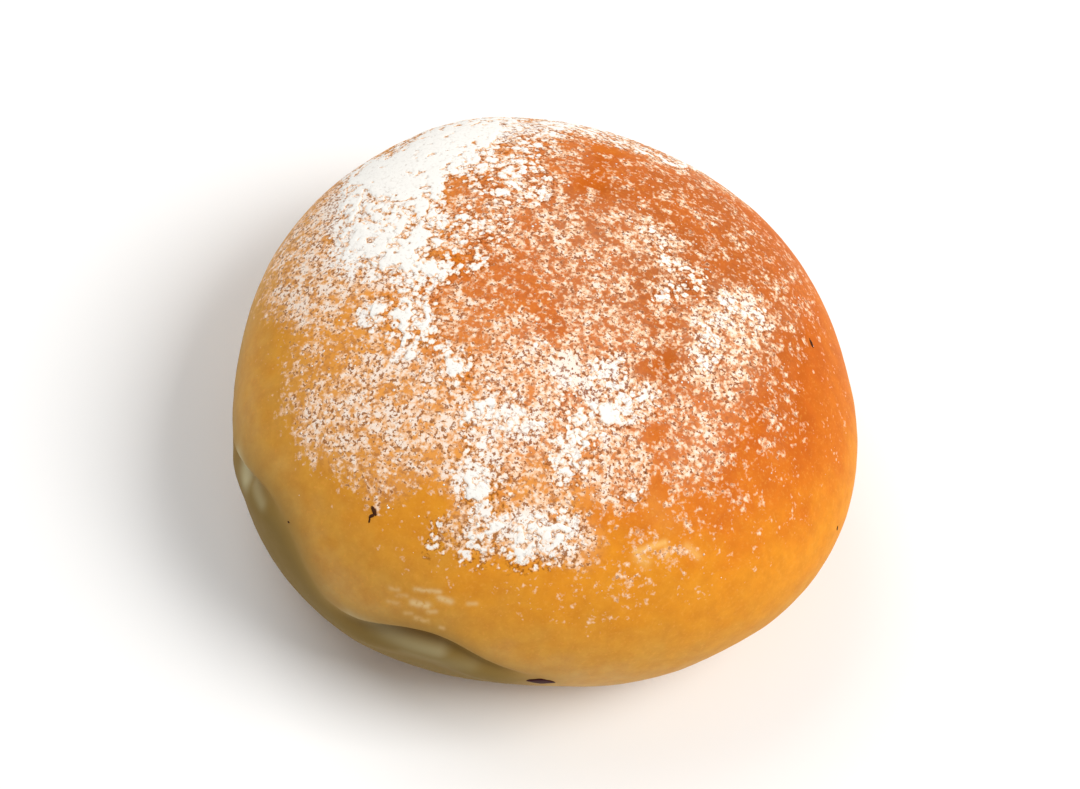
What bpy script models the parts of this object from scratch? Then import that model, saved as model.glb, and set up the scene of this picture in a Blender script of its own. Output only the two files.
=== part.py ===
"""Sugared bun: a round soft bun, browned on top and dusted with icing sugar.

The crust is one closed form: a rounded crown over a rounded underside, with a slightly
lobed plan, a flat base, and two folds where the dough was tucked under before it rose.
The largest clumps of sugar stand on the crown and are one body with the crust.
+Z is up, +X is the bun's right and -Y its front. The origin is the centre of the base.
"""

import math
import random

import bmesh
import bpy
from mathutils import Matrix, Vector, noise
from mathutils.bvhtree import BVHTree

MM = 0.001

# Overall form
RADIUS = 50 * MM
HEIGHT = 48 * MM
WIDEST_AT = 20 * MM
UNDERSIDE_DEPTH = 33 * MM
CROWN_POWER = 2.15
BASE_ROUNDING = 3 * MM

# Lobes of the plan: how many, their share of the radius, the azimuth of one in degrees
PLAN_LOBES = (
    (2, 0.0063, 19.0),
    (3, 0.0231, -6.9),
    (4, 0.0087, -29.4),
    (5, 0.0028, -20.5),
)

# Soft lumps of the risen dough: their spacing and how far they stand out
LUMPS = ((26 * MM, 0.55 * MM), (11 * MM, 0.18 * MM))
LUMPS_FADE_BELOW = 7 * MM

# The line of the two folds, which rises in an arch at each of them
FOLD_LINE_HEIGHT = 18.8 * MM
FOLD_ARCHES = (
    {"azimuth": 229.0, "half_angle": 24.0, "rise": 8.4 * MM},
    {"azimuth": 264.0, "half_angle": 20.0, "rise": 6.2 * MM},
)
FOLD_START = 204.0
FOLD_END = 288.0
FOLD_TAPER = 9.0
FOLD_DEPTHS = (
    {"azimuth": 217.0, "reach": 17.0, "strength": 0.5},
    {"azimuth": 264.0, "reach": 22.0, "strength": 0.85},
)
FOLD_FULLNESS = 1.5
CREASE_BETWEEN = 0.08
CREASE_DEPTH = 1.5 * MM
CREASE_ABOVE = 0.8 * MM
CREASE_BELOW = 1.5 * MM
LIP_HEIGHT = 0.3 * MM
LIP_AT = 2.4 * MM
LIP_WIDTH = 1.6 * MM
ROLL_HEIGHT = 0.8 * MM
ROLL_AT = -4.2 * MM
ROLL_WIDTH = 2.4 * MM

# Mesh fineness: the whole crust, and two narrowing bands along the folds
CRUST_SUBDIVISIONS = 5
FOLD_BANDS = (6.5 * MM, 3.2 * MM)

# Where the sugar lies thickest: ends of each patch's middle line, half width, share covered
SUGAR_PATCHES = (
    {"name": "left drift", "from": (-31, 3), "to": (-34, 19), "half": 8, "share": 1.0},
    {"name": "back left drift", "from": (-34, 19), "to": (-23, 36), "half": 9, "share": 1.0},
    {"name": "back rim drift", "from": (-22, 39), "to": (8, 43), "half": 5, "share": 0.8},
    {"name": "left tongue", "from": (-35, 0), "to": (-22, -1), "half": 3, "share": 0.9},
    {"name": "left speckle", "from": (-16, 27), "to": (-15, 14), "half": 6, "share": 0.5},
    {"name": "left cluster", "from": (-27, -9), "to": (-12, -14), "half": 4, "share": 0.7},
    {"name": "middle band", "from": (-7, -17), "to": (13, -12), "half": 5, "share": 0.75},
    {"name": "front column", "from": (-3, -25), "to": (7, -22), "half": 4, "share": 0.7},
    {"name": "front bank", "from": (-9, -32), "to": (0, -36), "half": 3, "share": 0.9},
    {"name": "front right bank", "from": (2, -35), "to": (12, -33), "half": 3, "share": 0.95},
    {"name": "right patch", "from": (22, 12), "to": (24, 2), "half": 5, "share": 0.65},
    {"name": "back patch", "from": (9, 18), "to": (16, 12), "half": 3, "share": 0.55},
)
PATCH_EDGE = 3.0
SUGAR_REACH = 43.0
SUGAR_ELSEWHERE = 0.12

# The thickest patches lie on the crust as a low drift
DRIFT_FROM_SHARE = 0.6
DRIFT_THICKNESS = 0.45 * MM

# Clumps of sugar large enough to stand out: flat uneven cakes with sloping sides
CLUMP_TRIES = 2400
CLUMP_COUNT = 128
CLUMP_RADIUS = (1.0 * MM, 2.5 * MM)
CLUMP_PROUD = (0.32 * MM, 0.5 * MM)
CLUMP_SUNK = 0.5 * MM
CLUMP_SIDES = 6
CLUMP_TOP = 0.66
CLUMP_UNEVEN = 0.24
CLUMP_STRETCH = (0.8, 1.2)
CLUMP_SPACING = 1.12
CLUMP_PLACE_SEED = 11
CLUMP_SHAPE_SEED = 12
GOLDEN_ANGLE = math.radians(137.508)

# Finish of the crust
CRUST_COLOUR = (0.62, 0.24, 0.045, 1.0)
CRUST_ROUGHNESS = 0.55
SMOOTH_UP_TO = math.radians(40)


def clear_scene():
    for obj in list(bpy.data.objects):
        bpy.data.objects.remove(obj, do_unlink=True)


def bump(distance, width):
    """A bell curve, 1 at distance 0."""
    return math.exp(-((distance / width) ** 2))


def ramp(value):
    """A smooth step from 0 to 1."""
    value = min(max(value, 0.0), 1.0)
    return value * value * (3 - 2 * value)


def plan_factor(azimuth):
    factor = 1.0
    for count, share, lobe in PLAN_LOBES:
        factor += share * math.cos(count * (azimuth - math.radians(lobe)))
    return factor


def flattened_at_base(height):
    """The height with everything below the base raised to it, over a rounded edge."""
    near = max(BASE_ROUNDING - abs(height), 0.0) / BASE_ROUNDING
    return max(height, 0.0) + near * near * BASE_ROUNDING / 4


def form_point(direction):
    """The point of the smooth form that lies in this direction of a unit sphere."""
    level = math.hypot(direction.x, direction.y)
    azimuth = math.atan2(direction.y, direction.x)
    if direction.z >= 0:
        reach = level ** (2 / CROWN_POWER)
        height = WIDEST_AT + (HEIGHT - WIDEST_AT) * direction.z ** (2 / CROWN_POWER)
    else:
        reach = level
        height = WIDEST_AT + UNDERSIDE_DEPTH * direction.z
    radius = RADIUS * plan_factor(azimuth) * reach
    return Vector((
        radius * math.cos(azimuth),
        radius * math.sin(azimuth),
        flattened_at_base(height),
    ))


def azimuth_of(point):
    return math.degrees(math.atan2(point.y, point.x)) % 360


def arch(azimuth, fold):
    """How far along this arch the azimuth is: 1 at its top and 0 outside it."""
    turn = (azimuth - fold["azimuth"]) / fold["half_angle"]
    return math.cos(turn * math.pi / 2) ** 2 if abs(turn) < 1 else 0.0


def above_fold(point):
    """The height of a point over the line of the folds."""
    azimuth = azimuth_of(point)
    line = FOLD_LINE_HEIGHT + sum(f["rise"] * arch(azimuth, f) for f in FOLD_ARCHES)
    return point.z - line


def fold_strength(point):
    """A fold's own strength in its middle, little between the two, and 0 past their ends."""
    azimuth = azimuth_of(point)
    ends = min(azimuth - FOLD_START, FOLD_END - azimuth) / FOLD_TAPER
    strength = CREASE_BETWEEN
    for fold in FOLD_DEPTHS:
        near = 1 - abs(azimuth - fold["azimuth"]) / fold["reach"]
        strength = max(strength, fold["strength"] * ramp(FOLD_FULLNESS * near))
    return ramp(ends) * strength


def fold_relief(point):
    """The crease, the lip of the crown over it and the roll of dough under it."""
    above = above_fold(point)
    width = CREASE_ABOVE if above > 0 else CREASE_BELOW
    profile = -CREASE_DEPTH * bump(above, width)
    profile += LIP_HEIGHT * bump(above - LIP_AT, LIP_WIDTH)
    profile += ROLL_HEIGHT * bump(above - ROLL_AT, ROLL_WIDTH)
    return profile * fold_strength(point)


def lump_relief(point):
    relief = sum(size * noise.noise(point / spacing) for spacing, size in LUMPS)
    return relief * ramp(point.z / LUMPS_FADE_BELOW)


def distance_to_segment(x, y, start, end):
    along_x = end[0] - start[0]
    along_y = end[1] - start[1]
    share = ((x - start[0]) * along_x + (y - start[1]) * along_y) / (along_x**2 + along_y**2)
    share = min(max(share, 0.0), 1.0)
    return math.hypot(x - start[0] - share * along_x, y - start[1] - share * along_y)


def sugar_share(x, y):
    """The share of the crust that sugar covers at a place in plan, in millimetres."""
    thickest = SUGAR_ELSEWHERE * ramp((SUGAR_REACH - math.hypot(x, y)) / PATCH_EDGE)
    for patch in SUGAR_PATCHES:
        past = distance_to_segment(x, y, patch["from"], patch["to"]) - patch["half"]
        thickest = max(thickest, patch["share"] * ramp(1 - past / PATCH_EDGE))
    return thickest


def drift_relief(point):
    """The low drift of sugar on the thickest patches of the crown."""
    over = sugar_share(point.x / MM, point.y / MM) - DRIFT_FROM_SHARE
    on_crown = ramp((point.z - WIDEST_AT) / LUMPS_FADE_BELOW)
    return DRIFT_THICKNESS * ramp(over / (1 - DRIFT_FROM_SHARE)) * on_crown


def relief(point):
    return lump_relief(point) + fold_relief(point) + drift_relief(point)


def refine_along_folds(bm):
    """Halves the edges of the unit sphere near the folds, once for each band."""
    for band in FOLD_BANDS:
        near = set()
        for vert in bm.verts:
            point = form_point(vert.co)
            if abs(above_fold(point)) < band and fold_strength(point) > 0:
                near.add(vert)
        edges = [e for e in bm.edges if near.issuperset(e.verts)]
        bmesh.ops.subdivide_edges(bm, edges=edges, cuts=1, use_grid_fill=True)
        bmesh.ops.triangulate(bm, faces=bm.faces[:])
        for vert in bm.verts:
            vert.co.normalize()


def crust_bmesh():
    bm = bmesh.new()
    bmesh.ops.create_icosphere(bm, subdivisions=CRUST_SUBDIVISIONS, radius=1.0)
    refine_along_folds(bm)
    for vert in bm.verts:
        vert.co = form_point(vert.co)
    bm.normal_update()
    moves = {vert: vert.normal * relief(vert.co) for vert in bm.verts}
    for vert, move in moves.items():
        if vert.co.z > 0:
            vert.co += move
            vert.co.z = max(vert.co.z, 0.0)
    base = [f for f in bm.faces if all(v.co.z == 0 for v in f.verts)]
    bmesh.ops.dissolve_faces(bm, faces=base, use_verts=True)
    bmesh.ops.triangulate(bm, faces=bm.faces[:])
    bm.normal_update()
    return bm


def clump_places(surface):
    """Sizes and places of the clumps: a spiral like a sunflower's, thinned where sugar is thin."""
    draw = random.Random(CLUMP_PLACE_SEED)
    placed = []
    for index in range(CLUMP_TRIES):
        out = RADIUS * math.sqrt((index + 0.5) / CLUMP_TRIES)
        turn = index * GOLDEN_ANGLE
        x = out * math.cos(turn)
        y = out * math.sin(turn)
        share = sugar_share(x / MM, y / MM)
        size = CLUMP_RADIUS[0] + (CLUMP_RADIUS[1] - CLUMP_RADIUS[0]) * share * draw.random()
        if draw.random() > share ** 2:
            continue
        hit, normal, _, _ = surface.ray_cast(Vector((x, y, 2 * HEIGHT)), Vector((0, 0, -1)))
        if hit is None or hit.z < WIDEST_AT + size:
            continue
        placed.append((size, hit, normal))
    return keep_clear(placed)


def keep_clear(placed):
    """The largest clumps first, each a little way from those already kept."""
    kept = []
    for size, hit, normal in sorted(placed, key=lambda item: -item[0]):
        apart = ((hit - other).length / (size + wide) for wide, other, _ in kept)
        if all(gap > CLUMP_SPACING for gap in apart):
            kept.append((size, hit, normal))
    return kept[:CLUMP_COUNT]


def clump_object(index, size, hit, normal, draw):
    """One flat uneven cake of sugar, sunk a little into the crust."""
    proud = draw.uniform(*CLUMP_PROUD)
    bm = bmesh.new()
    bmesh.ops.create_cone(
        bm,
        cap_ends=True,
        segments=CLUMP_SIDES,
        radius1=1.0,
        radius2=CLUMP_TOP,
        depth=proud + CLUMP_SUNK,
    )
    for vert in bm.verts:
        uneven = 1 + draw.uniform(-CLUMP_UNEVEN, CLUMP_UNEVEN)
        vert.co.x *= uneven
        vert.co.y *= uneven
    scale = Matrix.Diagonal((size * draw.uniform(*CLUMP_STRETCH), size, 1.0, 1.0))
    spin = Matrix.Rotation(draw.uniform(0, 2 * math.pi), 4, "Z")
    upright = normal.to_track_quat("Z", "Y").to_matrix().to_4x4()
    place = Matrix.Translation(hit + normal * (proud - CLUMP_SUNK) / 2)
    bm.transform(place @ upright @ spin @ scale)
    mesh = bpy.data.meshes.new(f"clump_{index}")
    bm.to_mesh(mesh)
    bm.free()
    return bpy.data.objects.new(f"clump_{index}", mesh)


def fuse_clumps(bun, surface):
    """Makes the crust and its clumps of sugar one body."""
    draw = random.Random(CLUMP_SHAPE_SEED)
    heap = bpy.data.collections.new("clumps")
    bpy.context.scene.collection.children.link(heap)
    for index, (size, hit, normal) in enumerate(clump_places(surface)):
        heap.objects.link(clump_object(index, size, hit, normal, draw))
    union = bun.modifiers.new("sugar", "BOOLEAN")
    union.operation = "UNION"
    union.operand_type = "COLLECTION"
    union.collection = heap
    union.solver = "EXACT"
    graph = bpy.context.evaluated_depsgraph_get()
    fused = bpy.data.meshes.new_from_object(bun.evaluated_get(graph))
    bun.modifiers.clear()
    bun.data = fused
    fused.name = "bun"
    for clump in list(heap.objects):
        bpy.data.objects.remove(clump, do_unlink=True)
    bpy.data.collections.remove(heap)


def crust_material():
    material = bpy.data.materials.new("crust")
    material.use_nodes = True
    shader = material.node_tree.nodes["Principled BSDF"]
    shader.inputs["Base Color"].default_value = CRUST_COLOUR
    shader.inputs["Roughness"].default_value = CRUST_ROUGHNESS
    shader.inputs["Metallic"].default_value = 0.0
    material.diffuse_color = CRUST_COLOUR
    return material


def make_bun():
    bm = crust_bmesh()
    surface = BVHTree.FromBMesh(bm)
    mesh = bpy.data.meshes.new("bun")
    bm.to_mesh(mesh)
    bm.free()
    bun = bpy.data.objects.new("bun", mesh)
    bpy.context.scene.collection.objects.link(bun)
    fuse_clumps(bun, surface)
    bun.data.materials.clear()
    bun.data.materials.append(crust_material())
    bun.data.shade_smooth()
    bun.data.set_sharp_from_angle(angle=SMOOTH_UP_TO)
    return bun


clear_scene()
make_bun()
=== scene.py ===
# %% [markdown]
# # A sugared bun
# This lesson dresses a round soft bun in its browned crust and its dusting of icing sugar.
# A frame is loaded first. It holds the plain solid that carries the bun's size and place,
# and everything made here has to fit that solid.

# %% Load the frame
import math
import random

import bmesh
import bpy
import numpy as np
from mathutils import Matrix, Vector, noise
from mathutils.bvhtree import BVHTree


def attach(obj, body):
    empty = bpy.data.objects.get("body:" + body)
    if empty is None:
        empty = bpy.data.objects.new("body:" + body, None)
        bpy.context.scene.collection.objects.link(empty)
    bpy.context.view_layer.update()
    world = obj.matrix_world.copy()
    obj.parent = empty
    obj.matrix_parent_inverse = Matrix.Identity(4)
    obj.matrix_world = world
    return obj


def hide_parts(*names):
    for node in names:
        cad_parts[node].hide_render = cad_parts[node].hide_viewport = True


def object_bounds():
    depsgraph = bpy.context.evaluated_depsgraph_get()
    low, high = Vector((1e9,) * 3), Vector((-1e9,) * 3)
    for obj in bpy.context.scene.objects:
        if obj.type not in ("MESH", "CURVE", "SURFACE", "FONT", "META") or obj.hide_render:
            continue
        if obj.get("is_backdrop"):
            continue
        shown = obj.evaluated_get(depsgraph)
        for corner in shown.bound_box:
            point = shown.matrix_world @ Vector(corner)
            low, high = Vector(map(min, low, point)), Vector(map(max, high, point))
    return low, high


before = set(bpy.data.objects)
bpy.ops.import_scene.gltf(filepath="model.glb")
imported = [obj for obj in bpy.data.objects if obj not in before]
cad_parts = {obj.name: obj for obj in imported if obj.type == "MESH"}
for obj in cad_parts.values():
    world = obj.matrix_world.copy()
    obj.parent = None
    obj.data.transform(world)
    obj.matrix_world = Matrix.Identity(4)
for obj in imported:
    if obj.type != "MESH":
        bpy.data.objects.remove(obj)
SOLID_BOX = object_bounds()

MM = 0.001
print("solid box in mm:", [[round(c / MM, 1) for c in corner] for corner in SOLID_BOX])

# %% [markdown]
# ## The form of the bun
# A bun proved and baked alone is nearly a body of revolution. Its crown is a little fuller
# than an ellipse, its underside is an ellipse cut flat by the tray, and its plan has soft
# lobes. A function that takes a direction of a unit sphere and gives the point of the bun in
# that direction lets one sphere be made finer wherever detail is needed. Sculpting by hand
# could give the same look, but the crust and the sugar must lie on the very same surface.

# %% The smooth form
RADIUS = 50 * MM
HEIGHT = 48 * MM
WIDEST_AT = 20 * MM
UNDERSIDE_DEPTH = 33 * MM
CROWN_POWER = 2.15
BASE_ROUNDING = 3 * MM
PLAN_LOBES = (
    (2, 0.0063, 19.0),
    (3, 0.0231, -6.9),
    (4, 0.0087, -29.4),
    (5, 0.0028, -20.5),
)


def plan_factor(azimuth):
    factor = 1.0
    for count, share, lobe in PLAN_LOBES:
        factor += share * math.cos(count * (azimuth - math.radians(lobe)))
    return factor


def flattened_at_base(height):
    """The height with everything below the base raised to it, over a rounded edge."""
    near = max(BASE_ROUNDING - abs(height), 0.0) / BASE_ROUNDING
    return max(height, 0.0) + near * near * BASE_ROUNDING / 4


def form_point(direction):
    """The point of the smooth form that lies in this direction of a unit sphere."""
    level = math.hypot(direction.x, direction.y)
    azimuth = math.atan2(direction.y, direction.x)
    if direction.z >= 0:
        reach = level ** (2 / CROWN_POWER)
        height = WIDEST_AT + (HEIGHT - WIDEST_AT) * direction.z ** (2 / CROWN_POWER)
    else:
        reach = level
        height = WIDEST_AT + UNDERSIDE_DEPTH * direction.z
    radius = RADIUS * plan_factor(azimuth) * reach
    return Vector((
        radius * math.cos(azimuth),
        radius * math.sin(azimuth),
        flattened_at_base(height),
    ))


print("apex height in mm:", round(form_point(Vector((0, 0, 1))).z / MM, 1))

# %% [markdown]
# ## The line of the folds
# Where the baker tucked the dough under, the crown hangs over a crease. The crease follows a
# line that rises in two arches low on the front left. A curve drawn by hand would do as well,
# but a few angles and heights are easier to change, and a function can then say of any point
# how far above the line it lies and how strong the fold is there. Each fold has a strength
# of its own, because the dough was pressed in less on the left.

# %% Line of the folds
FOLD_LINE_HEIGHT = 18.8 * MM
FOLD_ARCHES = (
    {"azimuth": 229.0, "half_angle": 24.0, "rise": 8.4 * MM},
    {"azimuth": 264.0, "half_angle": 20.0, "rise": 6.2 * MM},
)
FOLD_START = 204.0
FOLD_END = 288.0
FOLD_TAPER = 9.0
FOLD_DEPTHS = (
    {"azimuth": 217.0, "reach": 17.0, "strength": 0.5},
    {"azimuth": 264.0, "reach": 22.0, "strength": 0.85},
)
FOLD_FULLNESS = 1.5
CREASE_BETWEEN = 0.08


def ramp(value):
    """A smooth step from 0 to 1."""
    value = min(max(value, 0.0), 1.0)
    return value * value * (3 - 2 * value)


def azimuth_of(point):
    return math.degrees(math.atan2(point.y, point.x)) % 360


def arch(azimuth, fold):
    """How high this arch stands at an azimuth: 1 at its top and 0 outside it."""
    turn = (azimuth - fold["azimuth"]) / fold["half_angle"]
    return math.cos(turn * math.pi / 2) ** 2 if abs(turn) < 1 else 0.0


def above_fold(point):
    """The height of a point over the line of the folds."""
    azimuth = azimuth_of(point)
    line = FOLD_LINE_HEIGHT + sum(f["rise"] * arch(azimuth, f) for f in FOLD_ARCHES)
    return point.z - line


def fold_strength(point):
    """A fold's own strength in its middle, little between the two, and 0 past their ends."""
    azimuth = azimuth_of(point)
    ends = min(azimuth - FOLD_START, FOLD_END - azimuth) / FOLD_TAPER
    strength = CREASE_BETWEEN
    for fold in FOLD_DEPTHS:
        near = 1 - abs(azimuth - fold["azimuth"]) / fold["reach"]
        strength = max(strength, fold["strength"] * ramp(FOLD_FULLNESS * near))
    return ramp(ends) * strength


tops = [round((FOLD_LINE_HEIGHT + fold["rise"]) / MM, 1) for fold in FOLD_ARCHES]
print("tops of the fold line in mm:", tops)

# %% [markdown]
# ## Folds and lumps
# Below the crease swells a roll of dough, and the lip of the crown stands out over it. Each
# is a bell curve of relief along the surface's normal, and the crease is steeper on its upper
# side. Noise with a wide spacing adds the soft lumps of risen dough. A displacement modifier
# could do the same, but the layer of sugar and the crumbs have to follow this relief too.

# %% Relief of the dough
LUMPS = ((26 * MM, 0.55 * MM), (11 * MM, 0.18 * MM))
DIMPLES = ((3.6 * MM, 0.05 * MM), (1.7 * MM, 0.025 * MM))
LUMPS_FADE_BELOW = 7 * MM
CREASE_DEPTH = 1.5 * MM
CREASE_ABOVE = 0.8 * MM
CREASE_BELOW = 1.5 * MM
LIP_HEIGHT = 0.3 * MM
LIP_AT = 2.4 * MM
LIP_WIDTH = 1.6 * MM
ROLL_HEIGHT = 0.8 * MM
ROLL_AT = -4.2 * MM
ROLL_WIDTH = 2.4 * MM


def bump(distance, width):
    """A bell curve, 1 at distance 0."""
    return math.exp(-((distance / width) ** 2))


def fold_relief(point):
    """The crease, the lip of the crown over it and the roll of dough under it."""
    strength = fold_strength(point)
    if strength == 0:
        return 0.0
    above = above_fold(point)
    width = CREASE_ABOVE if above > 0 else CREASE_BELOW
    profile = -CREASE_DEPTH * bump(above, width)
    profile += LIP_HEIGHT * bump(above - LIP_AT, LIP_WIDTH)
    profile += ROLL_HEIGHT * bump(above - ROLL_AT, ROLL_WIDTH)
    return profile * strength


def dough_relief(point):
    """How far the crust stands out from the smooth form at this point."""
    lumps = sum(size * noise.noise(point / spacing) for spacing, size in LUMPS + DIMPLES)
    return lumps * ramp(point.z / LUMPS_FADE_BELOW) + fold_relief(point)


deepest = CREASE_DEPTH * max(fold["strength"] for fold in FOLD_DEPTHS)
print("deepest crease in mm:", round(deepest / MM, 2))

# %% [markdown]
# ## Where the sugar fell
# Sugar shaken from a sieve lies unevenly: a drift on the back left, a bank at the front, a
# patch on the right, and lace and haze between them. Two lists of named patches hold that, in
# millimetres over the plan. One is for sugar thick enough to stand out, the other for the
# thin haze of dust. Each patch is the line it runs along, its half width and the share of the
# crust that it covers. Sugar slides off the steep sides, so the cover fades to nothing at the
# widest line, and over a greater, uneven height at the back. A painted mask would look the
# same, but nobody could tell from it what was meant.

# %% Patches of sugar
THICK_EDGE = 2.2
HAZE_EDGE = 4.5
FADE_HEIGHT = 7.0 * MM
BACK_FROM = 30.0 * MM
BACK_RAISE = 2.0 * MM
BACK_SOFTNESS = 9.0 * MM
FADE_WANDER = 8.0 * MM
FADE_PATCH = 9.0 * MM
LEAST_COVER = 0.0001
MOST_COVER = 0.996
QUANTILE_SCALE = 4.91
QUANTILE_POWER = 0.14
THICK_PATCHES = (
    ("drift, left", (-31, 4), (-34, 21), 6.5, 0.75),
    ("drift, front", (-36, 1), (-21, -1), 0.5, 0.71),
    ("drift, middle", (-33, 20), (-27, 31), 6.0, 0.96),
    ("drift, back", (-27, 36), (-26, 42), 7.0, 0.95),
    ("drift, right edge", (-19, 9), (-20, 4), 4.0, 0.28),
    ("back rim", (-18, 48), (5, 48), 9.0, 0.39),
    ("back lace", (-13, 41), (-15, 31), 3.0, 0.34),
    ("left lace", (-21, 23), (-14, 20), 3.5, 0.46),
    ("left lace, low", (-25, -1), (-22, -11), 1.5, 0.39),
    ("left blob", (-28, -10), (-28, -10), 0.5, 0.84),
    ("left blob, right", (-23, -10), (-22, -15), 0.0, 0.55),
    ("left blob, low", (-14, -15), (-14, -16), 0.0, 0.68),
    ("left of the middle", (-18, -15), (-10, -19), 3.0, 0.07),
    ("middle blob", (9, -16), (10, -16), 0.5, 0.84),
    ("middle blob, right", (13, -12), (13, -13), 1.0, 0.43),
    ("middle blob, upper", (7, -10), (8, -9), 0.5, 0.52),
    ("middle blob, left", (-2, -10), (3, -13), 0.5, 0.11),
    ("middle blob, low", (6, -25), (8, -20), 1.0, 0.58),
    ("middle row", (3, -17), (7, -13), 2.5, 0.11),
    ("middle row, low", (-3, -23), (7, -18), 0.0, 0.23),
    ("front column", (-7, -23), (-5, -22), 2.5, 0.42),
    ("front column, low", (-6, -28), (-2, -30), 0.0, 0.24),
    ("front bank, left", (-7, -31), (-5, -33), 0.5, 0.90),
    ("front bank, middle", (-2, -36), (-3, -38), 1.0, 0.47),
    ("front bank, right", (4, -36), (8, -34), 1.5, 0.63),
    ("front fringe", (0, -39), (3, -40), 0.5, 0.02),
    ("front fringe, left", (-9, -40), (-9, -39), 0.0, 0.21),
    ("front low right", (16, -25), (16, -25), 0.0, 0.34),
    ("right patch", (22, 10), (24, 10), 1.5, 0.31),
    ("right patch, low", (20, 4), (21, -1), 0.5, 0.54),
    ("right patch, rim", (27, 8), (28, 10), 0.0, 0.24),
    ("right blob", (16, 13), (16, 12), 0.0, 0.34),
    ("right blob, low", (13, 8), (13, 7), 0.0, 0.72),
    ("back blob", (9, 18), (11, 15), 1.0, 0.39),
)
HAZE_PATCHES = (
    ("crown", (-3, 6), (2, 4), 13.5, 0.16),
    ("crown, middle", (-4, 10), (6, -2), 4.0, 0.19),
    ("crown, left", (-14, 4), (-13, -6), 3.0, 0.04),
    ("crown, back", (-10, 18), (6, 16), 3.5, 0.12),
    ("crown, right", (8, 13), (20, 8), 4.0, 0.08),
    ("middle", (-4, -16), (11, -22), 4.5, 0.41),
    ("middle, upper", (-8, -9), (-1, -11), 1.0, 0.25),
    ("middle, right", (3, -11), (13, -12), 1.5, 0.51),
    ("front left", (-22, -21), (-8, -28), 4.0, 0.38),
    ("front left, upper", (-18, -24), (-14, -24), 1.0, 0.15),
    ("arc", (-31, -24), (-28, -27), 1.0, 0.15),
    ("left middle", (-31, -16), (-28, -22), 2.5, 0.09),
    ("left arc", (-37, 1), (-32, -22), 4.0, 0.19),
    ("left arc, low", (-29, -28), (-18, -33), 2.0, 0.34),
    ("left row", (-24, -7), (-17, -12), 5.0, 0.25),
    ("right patch", (24, 9), (22, 1), 3.5, 0.44),
    ("right patch, low", (20, -7), (22, -18), 1.5, 0.28),
    ("right fringe", (28, 1), (25, -15), 0.5, 0.26),
    ("left rim", (-44, 18), (-39, -4), 5.5, 0.37),
    ("drift, left", (-40, 10), (-32, 32), 1.5, 0.47),
    ("drift, right", (-29, 5), (-13, 30), 6.5, 0.22),
    ("drift, back", (-21, 35), (-12, 45), 3.0, 0.66),
    ("back rim", (-10, 42), (21, 43), 3.0, 0.34),
    ("back right", (8, 29), (26, 21), 8.5, 0.15),
    ("right side", (32, 13), (35, -9), 1.0, 0.12),
    ("low right", (30, -19), (17, -34), 3.0, 0.07),
    ("front bank", (-5, -37), (11, -34), 0.5, 0.56),
    ("front bank, upper", (-4, -24), (5, -32), 2.5, 0.36),
    ("whole crown", (-2, 0), (2, 0), 42.0, 0.02),
)


def distance_to_segment(x, y, start, end):
    """The distance in plan to a line between two ends, which may be the same point."""
    along_x = end[0] - start[0]
    along_y = end[1] - start[1]
    length_squared = along_x**2 + along_y**2 or 1.0
    share = ((x - start[0]) * along_x + (y - start[1]) * along_y) / length_squared
    share = min(max(share, 0.0), 1.0)
    return math.hypot(x - start[0] - share * along_x, y - start[1] - share * along_y)


def lies_at(point):
    """1 on the crown, fading unevenly to 0 at the widest line, and from higher up at the back."""
    at_back = ramp(point.y / BACK_FROM)
    wander = FADE_WANDER * noise.noise(point / FADE_PATCH)
    above = point.z - WIDEST_AT - (BACK_RAISE + wander) * at_back
    return ramp(above / (FADE_HEIGHT + BACK_SOFTNESS * at_back))


def covered(point, patches, edge):
    """The share of the crust that these patches cover at a point of the crown."""
    x = point.x / MM
    y = point.y / MM
    bare = 1.0
    for _, start, end, half_width, share in patches:
        past = (distance_to_segment(x, y, start, end) - half_width) / edge
        if past < 1:
            bare *= 1 - share * ramp(1 - past)
    return (1 - bare) * lies_at(point)


def normal_quantile(share):
    """How many standard deviations a normal spread passes for this share, near enough."""
    share = min(max(share, LEAST_COVER), MOST_COVER)
    return QUANTILE_SCALE * (share**QUANTILE_POWER - (1 - share) ** QUANTILE_POWER)


print("patches of thick sugar:", len(THICK_PATCHES), "and of haze:", len(HAZE_PATCHES))

# %% [markdown]
# ## Small marks on the crust
# The low front is scuffed in short pale flakes where the dough rubbed the tray beside it, a
# blister on the front right burst and left pale bars, and flour clings to the folds. These
# are changes of colour no wider than a grain of rice. Each is a line on the surface with a
# half width in millimetres and a strength, so a vertex can ask how near it lies, and the mesh
# is made finer around the smallest of them.

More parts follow.
